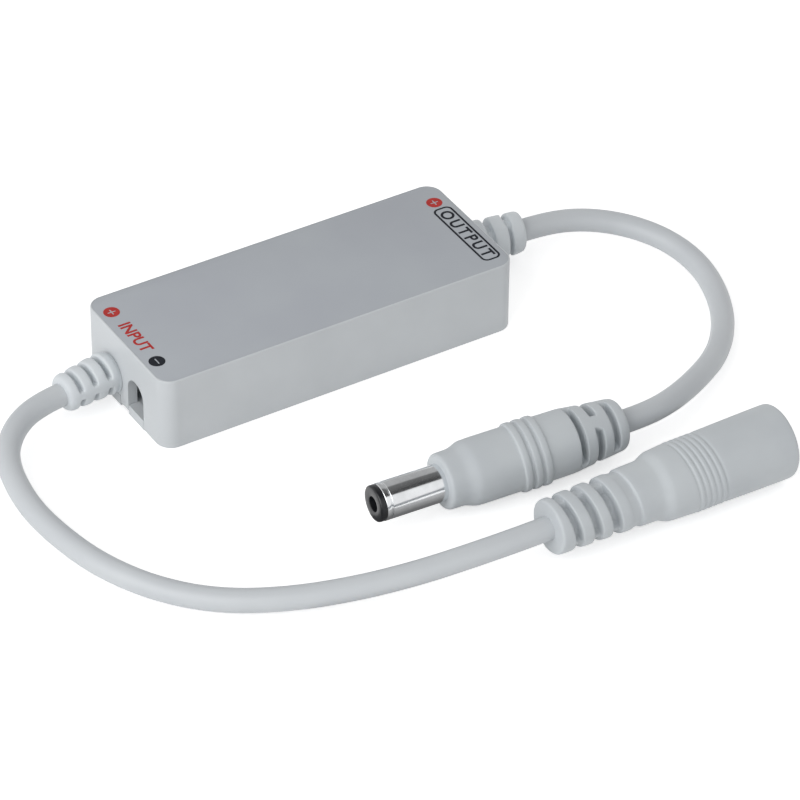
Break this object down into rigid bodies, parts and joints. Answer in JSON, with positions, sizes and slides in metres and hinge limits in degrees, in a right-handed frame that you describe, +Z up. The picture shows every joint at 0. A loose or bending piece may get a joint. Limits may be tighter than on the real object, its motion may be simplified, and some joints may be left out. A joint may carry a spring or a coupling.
{
  "type": "wifi led dimmer",
  "caption": "Inline LED dimmer: a slim box with slotted strain reliefs, an input lead ending in a barrel jack and an output lead ending in a barrel plug.",
  "frame": {"origin": "on the floor under the middle of the box", "axes": "+X along the box towards the output lead, +Y to the back, away from the connectors, +Z up"},
  "size_m": [0.1161, 0.0767, 0.0119],
  "materials": {
    "case_plastic": "fine satin",
    "label_film": "smooth satin film",
    "soft_vinyl": "satin",
    "cable_jacket": "satin",
    "nickel_plate": "polished",
    "black_insulator": "matte",
    "spring_brass": "bright",
    "board_laminate": "solder mask",
    "can_steel": "tinned",
    "chip_epoxy": "matte",
    "capacitor_can": "bright",
    "ferrite": "matte",
    "chip_ceramic": "matte",
    "red_insulation": "satin",
    "black_insulation": "satin"
  },
  "bodies": {
    "root": {"upper_housing": "case_plastic", "base_cover": "case_plastic", "top_label": "label_film", "input_strain_relief": "soft_vinyl", "output_strain_relief": "soft_vinyl", "input_cable": "cable_jacket", "output_cable": "cable_jacket", "jack_body": "soft_vinyl", "jack_insert": "black_insulator", "jack_centre_pin": "nickel_plate", "jack_spring_contact": "spring_brass", "plug_body": "soft_vinyl", "plug_barrel": "nickel_plate", "plug_tip_insulator": "black_insulator", "plug_centre_contact": "spring_brass", "circuit_board": "board_laminate", "wifi_module_board": "board_laminate", "wifi_shield_can": "can_steel", "power_transistor": "chip_epoxy", "smoothing_capacitor": "capacitor_can", "buck_inductor": "ferrite", "schottky_diode": "chip_epoxy", "voltage_regulator": "chip_epoxy", "input_chip_capacitor": "chip_ceramic", "radio_chip_capacitor": "chip_ceramic", "pull_down_resistor": "chip_epoxy", "gate_resistor": "chip_epoxy", "input_positive_wire": "red_insulation", "input_negative_wire": "black_insulation", "output_positive_wire": "red_insulation", "output_negative_wire": "black_insulation"}
  },
  "joints": []
}
